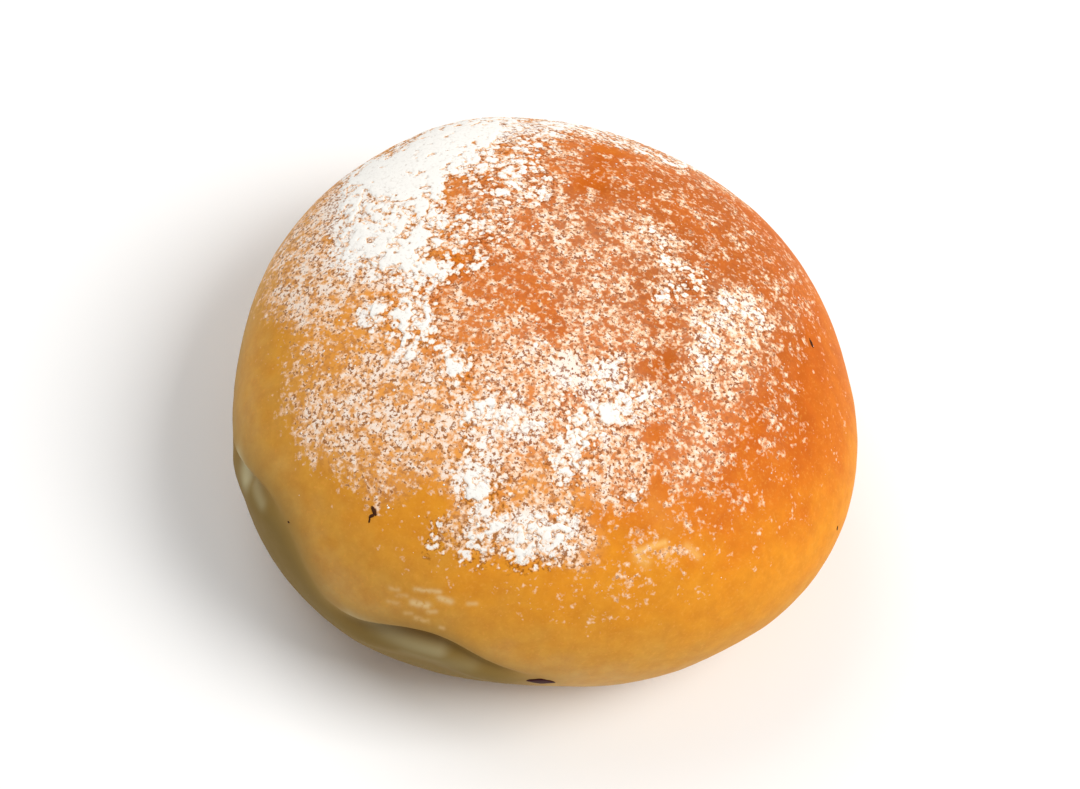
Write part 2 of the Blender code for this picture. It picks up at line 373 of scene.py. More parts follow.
# %% Marks
SCUFFS = (
    ("upper", (-9.3, -45.6, 31.9), (-5.9, -45.1, 32.7), 0.22, 0.8),
    ("bright", (-9.1, -46.8, 30.0), (-7.0, -46.7, 30.4), 0.45, 1.0),
    ("right", (-5.6, -45.7, 32.0), (-4.0, -45.7, 32.0), 0.35, 0.9),
    ("left", (-12.8, -46.0, 30.5), (-11.7, -46.0, 30.8), 0.25, 0.5),
    ("middle left", (-11.6, -46.5, 30.0), (-10.3, -46.4, 30.5), 0.25, 0.45),
    ("low left", (-12.6, -47.1, 28.5), (-11.1, -47.2, 28.9), 0.25, 0.4),
    ("low right", (-6.6, -47.2, 29.6), (-5.6, -47.0, 30.0), 0.25, 0.6),
    ("low", (-9.7, -47.8, 28.0), (-8.8, -47.7, 28.4), 0.2, 0.4),
    ("lowest", (-8.0, -47.9, 28.0), (-6.3, -47.9, 28.2), 0.3, 0.5),
    ("far right", (-1.4, -45.3, 32.3), (-0.4, -45.0, 32.5), 0.2, 0.6),
    ("at the fold", (-11.3, -48.8, 24.0), (-9.9, -48.9, 24.7), 0.25, 0.4),
    ("over the fold", (-4.2, -48.0, 27.9), (-3.8, -48.0, 27.9), 0.2, 0.5),
)
BLISTERS = (
    ("bar", (19.3, -32.1, 38.7), (22.8, -29.4, 39.1), 0.4, 0.85),
    ("lobe", (19.9, -32.5, 38.3), (21.0, -32.7, 37.8), 0.8, 0.6),
    ("foot", (22.9, -29.6, 39.0), (23.8, -30.7, 38.0), 0.35, 0.6),
    ("streak", (26.1, -28.4, 38.4), (28.1, -28.8, 37.3), 0.5, 0.6),
    ("zone", (19.0, -25.2, 42.2), (21.9, -26.8, 40.7), 2.0, 0.12),
)
FLOURED = (
    ("upper lobe", (-41.3, -29.4, 23.0), (-39.3, -32.4, 23.0), 1.5, 0.8),
    ("lower lobe", (-37.6, -33.9, 24.8), (-35.3, -36.5, 24.9), 0.9, 0.4),
    ("roll", (-17.3, -47.8, 21.6), (-3.5, -49.4, 22.6), 1.3, 0.42),
    ("roll, low", (-8.0, -49.6, 20.6), (1.7, -49.1, 20.6), 1.4, 0.16),
)
MARK_SOFTNESS = 0.15
MARK_REACH = 2.5


def marked(point, marks):
    """How strongly the strongest of these marks colours this point."""
    strongest = 0.0
    place = point / MM
    for _, start, end, half_width, strength in marks:
        start = Vector(start)
        along = Vector(end) - start
        share = min(max((place - start).dot(along) / along.length_squared, 0.0), 1.0)
        distance = (place - start - along * share).length
        strongest = max(strongest, strength * bump(distance, half_width + MARK_SOFTNESS))
    return strongest


def near_mark(point):
    """Whether the point lies close to an end of a scuff or of the blister."""
    return any(
        min((point / MM - Vector(start)).length, (point / MM - Vector(end)).length) < MARK_REACH
        for _, start, end, _, _ in SCUFFS + BLISTERS
    )


print("small marks:", len(SCUFFS + BLISTERS + FLOURED))

# %% [markdown]
# ## Helpers for the skins
# The crust and the layer of sugar are made the same way. Each starts as an icosphere, whose
# even triangles have no pole to pinch, and its edges are cut finer only where something small
# has to show. Every vertex then moves to its place on the form and out along its normal by
# the relief. A material can't ask a function about a point, so the facts that a finish needs
# are kept in attributes of the mesh. They are worked out before the relief moves anything.

# %% Helpers for the skins


def refine(bm, wanted, cuts):
    """Cuts the edges of the unit sphere whose two ends are both wanted."""
    near = {vert for vert in bm.verts if wanted(form_point(vert.co))}
    edges = [edge for edge in bm.edges if near.issuperset(edge.verts)]
    bmesh.ops.subdivide_edges(bm, edges=edges, cuts=cuts, use_grid_fill=True)
    bmesh.ops.triangulate(bm, faces=[face for face in bm.faces if len(face.verts) > 3])
    for vert in bm.verts:
        vert.co.normalize()


def raise_relief(bm, relief):
    """Moves every vertex but those of the flat base out along its normal."""
    bm.normal_update()
    moves = {vert: vert.normal * relief(vert.co) for vert in bm.verts}
    for vert, move in moves.items():
        if vert.co.z > 0:
            vert.co += move
            vert.co.z = max(vert.co.z, 0.0)


def attribute_layers(bm, facts):
    """Keeps each named fact of a point as a float attribute, worked out before the relief."""
    for name, fact in facts.items():
        layer = bm.verts.layers.float.new(name)
        for vert in bm.verts:
            vert[layer] = fact(vert.co)


def piece_from(bm, name, material):
    """Makes a piece of the bun from a bmesh, smooth and with one material."""
    mesh = bpy.data.meshes.new(name)
    bm.to_mesh(mesh)
    bm.free()
    mesh.shade_smooth()
    mesh.materials.append(material)
    piece = bpy.data.objects.new(name, mesh)
    bpy.context.scene.collection.objects.link(piece)
    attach(piece, "root")
    return piece


# %% [markdown]
# ## Facts for the finish of the crust
# The dough stayed dull where it was tucked in: on the roll and a little up the side, and
# there its colour is also darkened as painted shade, where the surface turns away from the
# light. Deep in the crease the dark colour is a painted shadow. The dull colour and its
# painted shade fade out towards the base. Each of these is a function of a point beside the
# line of the folds. Two more say how much haze and how many small islands of white are
# wanted. They give standard deviations of the noise that breaks the sugar up, so that the
# finish only has to scale them and add them to that noise.

# %% Facts for the finish of the crust
CREASE_SHADE_WIDTH = 1.2 * MM
CREASE_SHADE_DROP = 0.5 * MM
CREASE_SHADE_GAIN = 1.4
CREASE_SHADE_END = 272.0
ROLL_FADE = 4.5 * MM
ROLL_FADE_AT = 0.3
ROLL_START = 200.0
ROLL_END = 292.0
ROLL_TAPER = 17.0
DULL_START = 172.0
DULL_END = 296.0
DULL_TAPER = 22.0
DULL_FROM = -1.0 * MM
DULL_RISE = 7.5 * MM
DULL_EXTRA = 6.0 * MM
DULL_EXTRA_BEFORE = 228.0
SHADE_LEAST = 0.25
SHADE_LEAST_AT = 3.0 * MM
SHADE_RISE = 10.0 * MM
HAZE_GAIN = 1.36
ISLAND_EDGE = 3.5
ISLAND_PART = 0.75


def off_the_base(point):
    """1 on the sides and less towards the base, where the dull colour and its painted shade fade
    out.
    """
    return SHADE_LEAST + (1 - SHADE_LEAST) * ramp((point.z - SHADE_LEAST_AT) / SHADE_RISE)


def crease_painted_shadow(point):
    """The painted shadow in a crease: 1 deep in a strong crease and 0 away from it."""
    strength = min(fold_strength(point) ** 2 * CREASE_SHADE_GAIN, 1.0)
    strength *= ramp((CREASE_SHADE_END - azimuth_of(point)) / FOLD_TAPER)
    return strength * bump(above_fold(point) + CREASE_SHADE_DROP, CREASE_SHADE_WIDTH)


def roll_and_painted_shade(point):
    """1 on the dull roll of dough below the line of the folds, darkened also as painted shade."""
    azimuth = azimuth_of(point)
    ends = ramp(min(azimuth - ROLL_START, ROLL_END - azimuth) / ROLL_TAPER)
    return ends * ramp(ROLL_FADE_AT - above_fold(point) / ROLL_FADE) * off_the_base(point)


def haze_quantile(point):
    """The haze wanted here, in standard deviations of the noise that breaks it up."""
    return normal_quantile(covered(point, HAZE_PATCHES, HAZE_EDGE) * HAZE_GAIN)


def island_quantile(point):
    """The painted islands of white wanted here, in standard deviations of the same noise."""
    return normal_quantile(covered(point, THICK_PATCHES, ISLAND_EDGE) * ISLAND_PART)


def dull_and_painted_shade(point):
    """1 at the folds and fading up the side, where the dough stayed dull and pale, darkened also
    as painted shade.
    """
    azimuth = azimuth_of(point)
    ends = min(azimuth - DULL_START, DULL_END - azimuth) / DULL_TAPER
    rise = DULL_RISE + DULL_EXTRA * ramp((DULL_EXTRA_BEFORE - azimuth) / DULL_TAPER)
    shade = ramp(ends) * ramp(1 - (above_fold(point) - DULL_FROM) / rise)
    return shade * off_the_base(point)


# %% [markdown]
# ## The crust as a mesh
# The crust is the whole bun as one closed skin, with the solid's form and a finer mesh. It
# replaces the plain solid, because only a mesh of its own can carry these facts. The edges
# near the folds are cut once more, and those near the small marks are cut finer still.

# %% Make the crust
CRUST_SUBDIVISIONS = 7
FOLD_BAND = 6.0 * MM
FOLD_CUTS = 1
MARK_CUTS = 3


def in_fold_band(point):
    return abs(above_fold(point)) < FOLD_BAND and fold_strength(point) > 0


crust_finish = bpy.data.materials.new("crust")
bm = bmesh.new()
bmesh.ops.create_icosphere(bm, subdivisions=CRUST_SUBDIVISIONS, radius=1.0)
refine(bm, in_fold_band, FOLD_CUTS)
refine(bm, near_mark, MARK_CUTS)
for vert in bm.verts:
    vert.co = form_point(vert.co)
# crease holds a painted shadow; roll and dull hold dull dough darkened also as painted shade
attribute_layers(bm, {
    "crease": crease_painted_shadow,
    "roll": roll_and_painted_shade,
    "dull": dull_and_painted_shade,
    "haze": haze_quantile,
    "island": island_quantile,
    "scuff": lambda point: marked(point, SCUFFS),
    "blister": lambda point: marked(point, BLISTERS),
    "flour": lambda point: marked(point, FLOURED),
})
raise_relief(bm, dough_relief)
crust_surface = BVHTree.FromBMesh(bm)
crust = piece_from(bm, "crust", crust_finish)
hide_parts("bun")
print("crust triangles:", len(crust.data.polygons))

# %% [markdown]
# ## How deep the sugar lies
# Fallen sugar is a thin layer with a torn edge: nearly whole in a drift, lace where it is
# thinner, separate islands at its margins. Noise of four sizes says how much sugar lies at a
# point. Where that passes a threshold set by the patches, sugar covers the crust, and its
# depth grows quickly from the edge to a level, deeper in the drift.

# %% Depth of the sugar
LAYER_NOISE = ((0.45 * MM, 0.2), (1.0 * MM, 0.55), (1.8 * MM, 0.45), (3.6 * MM, 0.25))
NOISE_SPREAD = 0.216
LAYER_THICKNESS = 0.09 * MM
DRIFT_THICKNESS = 0.22 * MM
LAYER_STEEPNESS = 0.16
LAYER_HIDDEN = 0.3 * MM
PAINTED_STEEPNESS = 0.3
LEAST_SHARE = 0.01


def thick_share(point):
    return covered(point, THICK_PATCHES, THICK_EDGE)


def sugar_level(point, share):
    """Above zero where thick sugar lies, for a share of the crust covered here."""
    level = sum(weight * noise.noise(point / spacing) for spacing, weight in LAYER_NOISE)
    return level + NOISE_SPREAD * normal_quantile(share)


def sugar_depth(point):
    """The depth of sugar over the crust, or below zero where there is none."""
    share = thick_share(point)
    if share < LEAST_SHARE:
        return -LAYER_HIDDEN
    fullest = LAYER_THICKNESS + (DRIFT_THICKNESS - LAYER_THICKNESS) * share
    depth = fullest * math.tanh(sugar_level(point, share) / LAYER_STEEPNESS)
    return max(depth, -LAYER_HIDDEN)


def painted_depth(point):
    """0 at the torn edge of the layer and near 1 where the sugar is deepest."""
    share = thick_share(point)
    if share < LEAST_SHARE:
        return 0.0
    return max(math.tanh(sugar_level(point, share) / PAINTED_STEEPNESS), 0.0)


drift = form_point(Vector((-0.6, 0.5, 0.6)).normalized())
print("depth at one place of the drift in mm:", round(sugar_depth(drift) / MM, 2))

# %% [markdown]
# ## The layer of sugar
# Thousands of copies of one grain would never read as a layer, so a second skin follows the
# crust. It rises out of the crust where sugar lies, and elsewhere it stays hidden inside. It
# is cut twice: once wherever there may be sugar, and again, much finer, only where the noise
# says that there is.

# %% Make the layer
LAYER_SUBDIVISIONS = 5
COARSE_CUTS = 3
FINE_CUTS = 4
FINE_MARGIN = 0.16
INNER_SHRINK = 0.08
INNER_CENTRE = Vector((0.0, 0.0, WIDEST_AT))


def may_be_sugar(point):
    return thick_share(point) > LEAST_SHARE


def is_sugar(point):
    share = thick_share(point)
    return share > LEAST_SHARE and sugar_level(point, share) > -FINE_MARGIN


sugar_finish = bpy.data.materials.new("icing_sugar")
bm = bmesh.new()
bmesh.ops.create_icosphere(bm, subdivisions=LAYER_SUBDIVISIONS, radius=1.0)
refine(bm, may_be_sugar, COARSE_CUTS)
refine(bm, is_sugar, FINE_CUTS)
for vert in bm.verts:
    vert.co = form_point(vert.co)
attribute_layers(bm, {"depth": painted_depth})
inner = [vert for vert in bm.verts if not may_be_sugar(vert.co)]
raise_relief(bm, lambda point: dough_relief(point) + sugar_depth(point))
for vert in inner:
    vert.co = vert.co.lerp(INNER_CENTRE, INNER_SHRINK)
print("layer triangles:", len(bm.faces))
piece_from(bm, "sugar_layer", sugar_finish)

# %% [markdown]
# ## Loose crumbs of sugar
# Damp icing sugar clumps into crumbs, most of them far under half a millimetre, that lie
# loose on the haze around the thick patches. Each is an icosphere of twenty faces, made
# uneven, longer one way than the other and flattened. A few shapes are enough, because turned
# and scaled copies of them look different.

# %% Shape the crumbs
CRUMB_SHAPES = 8
CRUMB_LENGTHS = (0.7, 1.3)
CRUMB_FLATNESS = 0.25
CRUMB_UNEVENNESS = 0.35

dice = random.Random(41)


def uneven_crumb(dice):
    """The points of one crumb of unit size, squeezed more in one direction than another."""
    bm = bmesh.new()
    bmesh.ops.create_icosphere(bm, subdivisions=1, radius=1.0)
    long_side = dice.uniform(*CRUMB_LENGTHS)
    for vert in bm.verts:
        vert.co *= 1 + dice.uniform(-CRUMB_UNEVENNESS, CRUMB_UNEVENNESS)
        vert.co.x *= long_side
        vert.co.z *= CRUMB_FLATNESS
    points = np.array([vert.co[:] for vert in bm.verts])
    faces = np.array([[vert.index for vert in face.verts] for face in bm.faces])
    bm.free()
    return points, faces


shapes = [uneven_crumb(dice) for _ in range(CRUMB_SHAPES)]
print("shapes of crumbs:", len(shapes), "with faces:", len(shapes[0][1]))

# %% [markdown]
# ## Crumbs where they fell
# Sugar falls from above, so places are drawn evenly over the plan of the bun, kept by the
# share of haze there and dropped onto the crust by a ray. Each crumb is half sunk where it
# lands. All of them are joined into one mesh through arrays, because thousands of separate
# objects would be slow.

# %% Scatter the crumbs
CRUMB_COUNT = 2600
CRUMB_RADII = (0.07 * MM, 0.22 * MM)
CRUMB_SMALLNESS = 2.5
CRUMB_DEPTHS = (0.0, 0.6)
MOST_TURN = 6.28
HAZE_CHANCE = 0.7
HAZE_CHANCE_POWER = 1.5
THICK_CHANCE = 0.3
BASE_CHANCE = 0.0008
DROP_HEIGHT = 0.1
DOWN = Vector((0, 0, -1))


def landing(dice):
    """A place on the crust where a falling crumb stays, or None."""
    x = dice.uniform(-RADIUS, RADIUS)
    y = dice.uniform(-RADIUS, RADIUS)
    place, normal, _, _ = crust_surface.ray_cast(Vector((x, y, DROP_HEIGHT)), DOWN)
    if place is None:
        return None
    chance = covered(place, HAZE_PATCHES, HAZE_EDGE) ** HAZE_CHANCE_POWER * HAZE_CHANCE
    chance += thick_share(place) * THICK_CHANCE + BASE_CHANCE
    chance *= lies_at(place)
    return (place, normal) if dice.random() < chance else None


all_points = []
all_faces = []
all_depths = []
first = 0
while len(all_faces) < CRUMB_COUNT:
    found = landing(dice)
    if found is None:
        continue
    place, normal = found
    points, faces = shapes[dice.randrange(CRUMB_SHAPES)]
    low, high = CRUMB_RADII
    radius = low + (high - low) * dice.random() ** CRUMB_SMALLNESS
    stand = normal.to_track_quat("Z", "Y").to_matrix()
    turn = stand @ Matrix.Rotation(dice.uniform(0, MOST_TURN), 3, "Z")
    all_points.append(points * radius @ np.array(turn).T + np.array(place))
    all_faces.append(faces + first)
    all_depths.append(np.full(len(points), dice.uniform(*CRUMB_DEPTHS)))
    first += len(points)

places = np.concatenate(all_points).tolist()
crumb_mesh = bpy.data.meshes.new("sugar_crumbs")
crumb_mesh.from_pydata(places, [], np.concatenate(all_faces).tolist())
depth_layer = crumb_mesh.attributes.new("depth", "FLOAT", "POINT")
depth_layer.data.foreach_set("value", np.concatenate(all_depths))
crumb_mesh.shade_smooth()
crumb_mesh.materials.append(sugar_finish)
crumbs = bpy.data.objects.new("sugar_crumbs", crumb_mesh)
bpy.context.scene.collection.objects.link(crumbs)
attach(crumbs, "root")
print("crumbs:", CRUMB_COUNT, "triangles:", len(crumb_mesh.polygons))

# %% [markdown]
# ## Burnt flecks
# A few burnt crumbs were baked onto the crust: a hooked one on the front left, two specks
# the size of a pinhead, a brown flake beside the right patch, and a dark red drip of filling
# where the front crease ends. Each is a small sphere stretched between its two ends, in
# millimetres, made uneven by noise and set into the crust, which is simpler than cutting the
# crust for so small a thing.

# %% Set the flecks
FLECKS = (
    ("hook, stem", (-18.9, -37.9, 36.9), (-18.3, -38.5, 36.7), 0.3),
    ("hook, bend", (-18.4, -38.6, 36.6), (-18.9, -39.0, 36.2), 0.24),
    ("hook, tail", (-18.9, -39.1, 36.1), (-18.8, -39.6, 35.7), 0.14),
    ("left speck", (-30.4, -39.6, 27.8), (-30.3, -39.6, 27.8), 0.16),
    ("right speck", (49.3, -10.3, 26.8), (49.4, -10.5, 26.5), 0.22),
    ("flake", (36.4, 13.4, 38.7), (37.0, 12.6, 38.5), 0.28),
    ("drip", (11.8, -46.5, 16.6), (13.6, -46.0, 16.4), 1.2),
)
FLECK_FLATNESS = 0.45
DRIP_FLATNESS = 0.14
FLECK_UNEVENNESS = 0.35
FLECK_NOISE_SCALE = 1.7


def fleck_frame(start, end, normal):
    """The axes of a fleck: along it, across it and out of the crust."""
    across = normal.cross(end - start).normalized()
    return Matrix((across.cross(normal), across, normal)).transposed()


fleck_finish = bpy.data.materials.new("burnt")
bm = bmesh.new()
redness = bm.verts.layers.float.new("red")
for name, start, end, half_width in FLECKS:
    start = Vector(start) * MM
    end = Vector(end) * MM
    middle, normal, _, _ = crust_surface.find_nearest((start + end) / 2)
    axes = fleck_frame(start, end, normal)
    half_length = (end - start).length / 2 + half_width * MM
    red = name == "drip"
    flatness = DRIP_FLATNESS if red else FLECK_FLATNESS
    half_sizes = (half_length, half_width * MM, half_width * flatness * MM)
    for vert in bmesh.ops.create_icosphere(bm, subdivisions=3, radius=1.0)["verts"]:
        bulge = noise.noise(vert.co * FLECK_NOISE_SCALE + start / MM)
        wobble = 1 + FLECK_UNEVENNESS * bulge
        shape = Vector(c * half * wobble for c, half in zip(vert.co, half_sizes))
        vert.co = middle + axes @ shape
        vert[redness] = float(red)
print("fleck triangles:", len(bm.faces))
piece_from(bm, "burnt_flecks", fleck_finish)

# %% [markdown]
# ## Shader helpers
# A node graph written out link by link hides the thought behind it. This class wraps a
# socket so that sums and products can be written as such, and one method adds any other
# node from its type, its settings and what goes into its sockets. A Mix node for colours has
# its factor in socket 0 and its colours in 6 and 7, and gives the mixed colour in output 2.
# A noise is named by its size, its detail and, where it matters, its roughness.

# %% Sockets as numbers


class Paint:
    """A socket of a material's node tree that can be used like a number."""

    def __init__(self, tree, socket=None):
        self.tree = tree
        self.socket = socket

    def node(self, kind, settings=None, sockets=None, out=0):
        made = self.tree.nodes.new(kind)
        for name, value in (settings or {}).items():
            if name == "stops":
                self.set_stops(made.color_ramp, value)
            else:
                setattr(made, name, value)
        for name, value in (sockets or {}).items():
            if isinstance(value, Paint):
                self.tree.links.new(value.socket, made.inputs[name])
            else:
                made.inputs[name].default_value = value
        return Paint(self.tree, made.outputs[out])

    @staticmethod
    def set_stops(color_ramp, stops):
        while len(color_ramp.elements) < len(stops):
            color_ramp.elements.new(1.0)
        for element, (place, colour) in zip(color_ramp.elements, stops):
            element.position = place
            element.color = colour

    def maths(self, operation, *values):
        return self.node("ShaderNodeMath", {"operation": operation}, dict(enumerate(values)))

    def __add__(self, other):
        return self.maths("ADD", self, other)

    __radd__ = __add__

    def __sub__(self, other):
        return self.maths("SUBTRACT", self, other)

    def __rsub__(self, other):
        return self.maths("SUBTRACT", other, self)

    def __mul__(self, other):
        return self.maths("MULTIPLY", self, other)

    __rmul__ = __mul__

    def __truediv__(self, other):
        return self.maths("DIVIDE", self, other)

    def clamped(self, low, high):
        """0 at low, 1 at high and straight between them, also where low is the greater."""
        settings = {"clamp": True}
        sockets = {"Value": self, "From Min": low, "From Max": high}
        return self.node("ShaderNodeMapRange", settings, sockets)

    def blend(self, share, first, second):
        """A colour between two colours, by a share that is a number or a socket."""
        sockets = {0: share, 6: first, 7: second}
        return self.node("ShaderNodeMix", {"data_type": "RGBA"}, sockets, 2)

    def mix(self, first, second):
        """A colour between two colours, by this value."""
        return self.blend(self, first, second)

    def noise(self, place, size, detail=2.0, roughness=0.5):
        """Noise from 0 to 1 and 0.5 on average, in patches of about this size."""
        sockets = {"Vector": place, "Scale": 1 / size, "Detail": detail, "Roughness": roughness}
        return self.node("ShaderNodeTexNoise", None, sockets)


def srgb(red, green, blue):
    """A colour as the eye reads it, from 0 to 255, in the values that a shader takes."""
    def linear(value):
        value /= 255
        return value / 12.92 if value <= 0.04045 else ((value + 0.055) / 1.055) ** 2.4
    return (linear(red), linear(green), linear(blue), 1.0)


def start_finish(material):
    """The paint of a material, the shader that it feeds and the place on the piece."""
    material.use_nodes = True
    paint = Paint(material.node_tree)
    shader = material.node_tree.nodes["Principled BSDF"]
    place = paint.node("ShaderNodeTexCoord", out="Object")
    return paint, shader, place


def feed(paint, shader, socket, value):
    """Links a painted value to a socket of the shader."""
    paint.tree.links.new(value.socket, shader.inputs[socket])


def feed_relief(paint, shader, height, strength, distance):
    """Lets a painted height tilt the shader's normal."""
    sockets = {"Height": height, "Strength": strength, "Distance": distance}
    feed(paint, shader, "Normal", paint.node("ShaderNodeBump", None, sockets))


# %% [markdown]
# ## The browned crust
# A crust browns with heat, so its colour follows the height: pale gold low on the sides and a
# deep orange brown on the crown. This bun browned more on its back right, so the scale of
# heights is tilted that way, and noise of two sizes makes its edge wander. The baked base is
# a plain brown. The colour is worked out by one function, because the thin edges of the sugar
# let the same crust show through. All of it reads the object's own coordinates, so that it
# stays put from every side. Heights are in millimetres.

# %% Colour of the bare crust
BROWNING_TILT = 0.25
BROWNING_SIDE = math.radians(42)
WANDER_NOISE = (14 * MM, 3.0)
WANDER_HEIGHT = 8.0
PATCHY_NOISE = (4.5 * MM, 2.0)
PATCHY_HEIGHT = 9.0
BROWNING_HIGH = 56.0
BASE_BROWN_TO = 5.0
BASE_STRENGTH = 0.8
CRUST_STOPS = (
    (4, srgb(212, 176, 118)),
    (14, srgb(216, 166, 88)),
    (21, srgb(218, 157, 62)),
    (28, srgb(226, 151, 44)),
    (36, srgb(237, 151, 38)),
    (42, srgb(222, 122, 30)),
    (47, srgb(206, 103, 27)),
    (53, srgb(176, 86, 18)),
)
BASE_BROWN = srgb(176, 112, 52)
DEEP_BROWN = srgb(168, 74, 14)
PALE_GRAIN = srgb(244, 172, 78)
MOTTLE_NOISE = (2.6 * MM, 4.0, 0.65)
MOTTLE_LIMITS = (0.35, 0.7)
MOTTLE_STRENGTH = 0.25
GRAIN_NOISE = (0.55 * MM, 2.0, 0.6)
GRAIN_LIMITS = (0.54, 0.78)
GRAIN_STRENGTH = 0.3
NOISE_MEAN = 0.5


def bare_crust(paint, place):
    """The colour of the crust without sugar, and the mottling that its relief shares."""
    parts = paint.node("ShaderNodeSeparateXYZ", None, {"Vector": place})
    x, y, z = (Paint(paint.tree, socket) for socket in parts.socket.node.outputs)
    toward_heat = x * math.cos(BROWNING_SIDE) + y * math.sin(BROWNING_SIDE)
    wander = (paint.noise(place, *WANDER_NOISE) - NOISE_MEAN) * WANDER_HEIGHT
    patchy = (paint.noise(place, *PATCHY_NOISE) - NOISE_MEAN) * PATCHY_HEIGHT
    heat = (z + toward_heat * BROWNING_TILT) / MM + wander + patchy
    stops = [(height / BROWNING_HIGH, colour) for height, colour in CRUST_STOPS]
    scale = heat.clamped(0.0, BROWNING_HIGH)
    colour = paint.node("ShaderNodeValToRGB", {"stops": stops}, {"Fac": scale})
    base = (z / MM + wander).clamped(BASE_BROWN_TO, 0.0)
    colour = (base * BASE_STRENGTH).mix(colour, BASE_BROWN)
    mottle = paint.noise(place, *MOTTLE_NOISE).clamped(*MOTTLE_LIMITS)
    colour = (mottle * MOTTLE_STRENGTH).mix(colour, DEEP_BROWN)
    grain = paint.noise(place, *GRAIN_NOISE).clamped(*GRAIN_LIMITS)
    return (grain * GRAIN_STRENGTH).mix(colour, PALE_GRAIN), mottle


print("stops of browning:", len(CRUST_STOPS))

# %% [markdown]
# ## How sugar covers colour
# Icing sugar is white because its dust scatters all light. A thin haze lets the crust warm
# it to peach, and only a deep heap is white. Both the haze on the crust and the layer use
# the same change from crust to peach to white, so that one runs into the other. Dust lies in
# soft clouds made of flakes: the flakes are the cells of a Voronoi pattern, pushed about by
# noise so that none of them is round. Between the grains, tiny dark pits are painted shade.

# %% Crust under sugar
SUGAR_WHITE = srgb(252, 249, 243)
SUGAR_PEACH = srgb(249, 206, 168)
PIT_SHADE_COLOUR = srgb(116, 56, 14)
PIT_NOISE = (0.55 * MM, 2.0, 0.6)
CLOUD_ROUGHNESS = 0.55
FLAKE_MEAN = 0.5


def sugared(amount, crust_colour):
    """The crust's colour under this amount of sugar, from 0 to 1."""
    thin = amount.clamped(0.0, 0.5).mix(crust_colour, SUGAR_PEACH)
    return amount.clamped(0.5, 1.0).mix(thin, SUGAR_WHITE)


def attribute(paint, name):
    """A fact that the mesh keeps at its vertices."""
    return paint.node("ShaderNodeAttribute", {"attribute_name": name}, None, "Fac")


def flakes(paint, place, size, push_share):
    """The distance to the middle of the nearest flake of dust, over the size of a flake."""
    scale = 1 / size
    push = paint.node("ShaderNodeTexNoise", None, {"Vector": place, "Scale": scale}, "Color")
    settings = {"operation": "MULTIPLY_ADD"}
    sockets = {0: push, 1: (push_share * size,) * 3, 2: place}
    pushed = paint.node("ShaderNodeVectorMath", settings, sockets)
    sockets = {"Vector": pushed, "Scale": scale}
    return paint.node("ShaderNodeTexVoronoi", None, sockets, "Distance")


def clouds(paint, place, flake, flake_weight, noises):
    """How unevenly dust lies: soft clouds of some sizes made of flakes, about zero on average."""
    lying = (FLAKE_MEAN - flake) * flake_weight
    for size, weight, detail in noises:
        cloud = paint.noise(place, size, detail, CLOUD_ROUGHNESS) - NOISE_MEAN
        lying = lying + cloud * weight
    return lying


def pits(paint, place, first, full):
    """1 in the tiny pits between grains of sugar, where shade is painted dark."""
    return paint.noise(place, *PIT_NOISE).clamped(first, full)


# %% [markdown]
# ## Shades and marks of the crust
# The finish of the crust is built up as a painter would, from the bare colour to the top.
# First come the dull sides and the roll, darkened also as painted shade, the painted shadow
# in the crease and the small marks, each a colour mixed in by the attribute that says where
# it is. Noise tears the scuffs into scraps. Where dust lies, small brown spots darken the
# crust under it.

# %% Shades of the crust
PIT_DARKNESS = 0.75
SCRAP_NOISE = (0.8 * MM, 2.0, 0.5)
SCRAP_LIMITS = (0.25, 0.5)
SPOT_COLOUR = srgb(140, 66, 22)
SPOT_NOISE = (0.9 * MM, 2.0, 0.6)
SPOT_LIMITS = (0.5, 0.63)
SPOT_DUSTING = (-1.3, 0.4)
SPOT_STRENGTH = 0.65

paint, shader, place = start_finish(crust_finish)
colour, mottle = bare_crust(paint, place)
pit_shade_colour = paint.blend(PIT_DARKNESS, colour, PIT_SHADE_COLOUR)
scraps = paint.noise(place, *SCRAP_NOISE).clamped(*SCRAP_LIMITS)
shades = (
    # dull and roll: dull dough, darkened also as painted shade
    ("dull", srgb(152, 121, 60), 0.85),
    ("roll", srgb(130, 106, 54), 0.85),
    # the crease colour is a painted shadow deep in the fold
    ("crease", srgb(104, 70, 24), 0.55),
    ("scuff", srgb(233, 195, 134), scraps),
    ("blister", srgb(250, 196, 112), 0.9),
    ("flour", srgb(214, 208, 168), 0.7),
)
for name, tint, strength in shades:
    colour = (attribute(paint, name) * strength).mix(colour, tint)
dusting = attribute(paint, "haze")
wanted = attribute(paint, "island")
spots = paint.noise(place, *SPOT_NOISE).clamped(*SPOT_LIMITS)
spots = spots * paint.maths("MAXIMUM", dusting, wanted).clamped(*SPOT_DUSTING)
colour = (spots * SPOT_STRENGTH).mix(colour, SPOT_COLOUR)
print("shades and marks on the crust:", len(shades))

# %% [markdown]
# ## Thin dust on the crust
# Modelling every grain would take millions of faces, so only the thick sugar is a mesh, and
# the thin dust is painted on the crust. A faint film lies wherever there is any dust. The
# haze is thicker clouds of fine flakes, and small islands of larger grains are nearly white.
# The share wanted at a point, in standard deviations, is added to the noise of each.

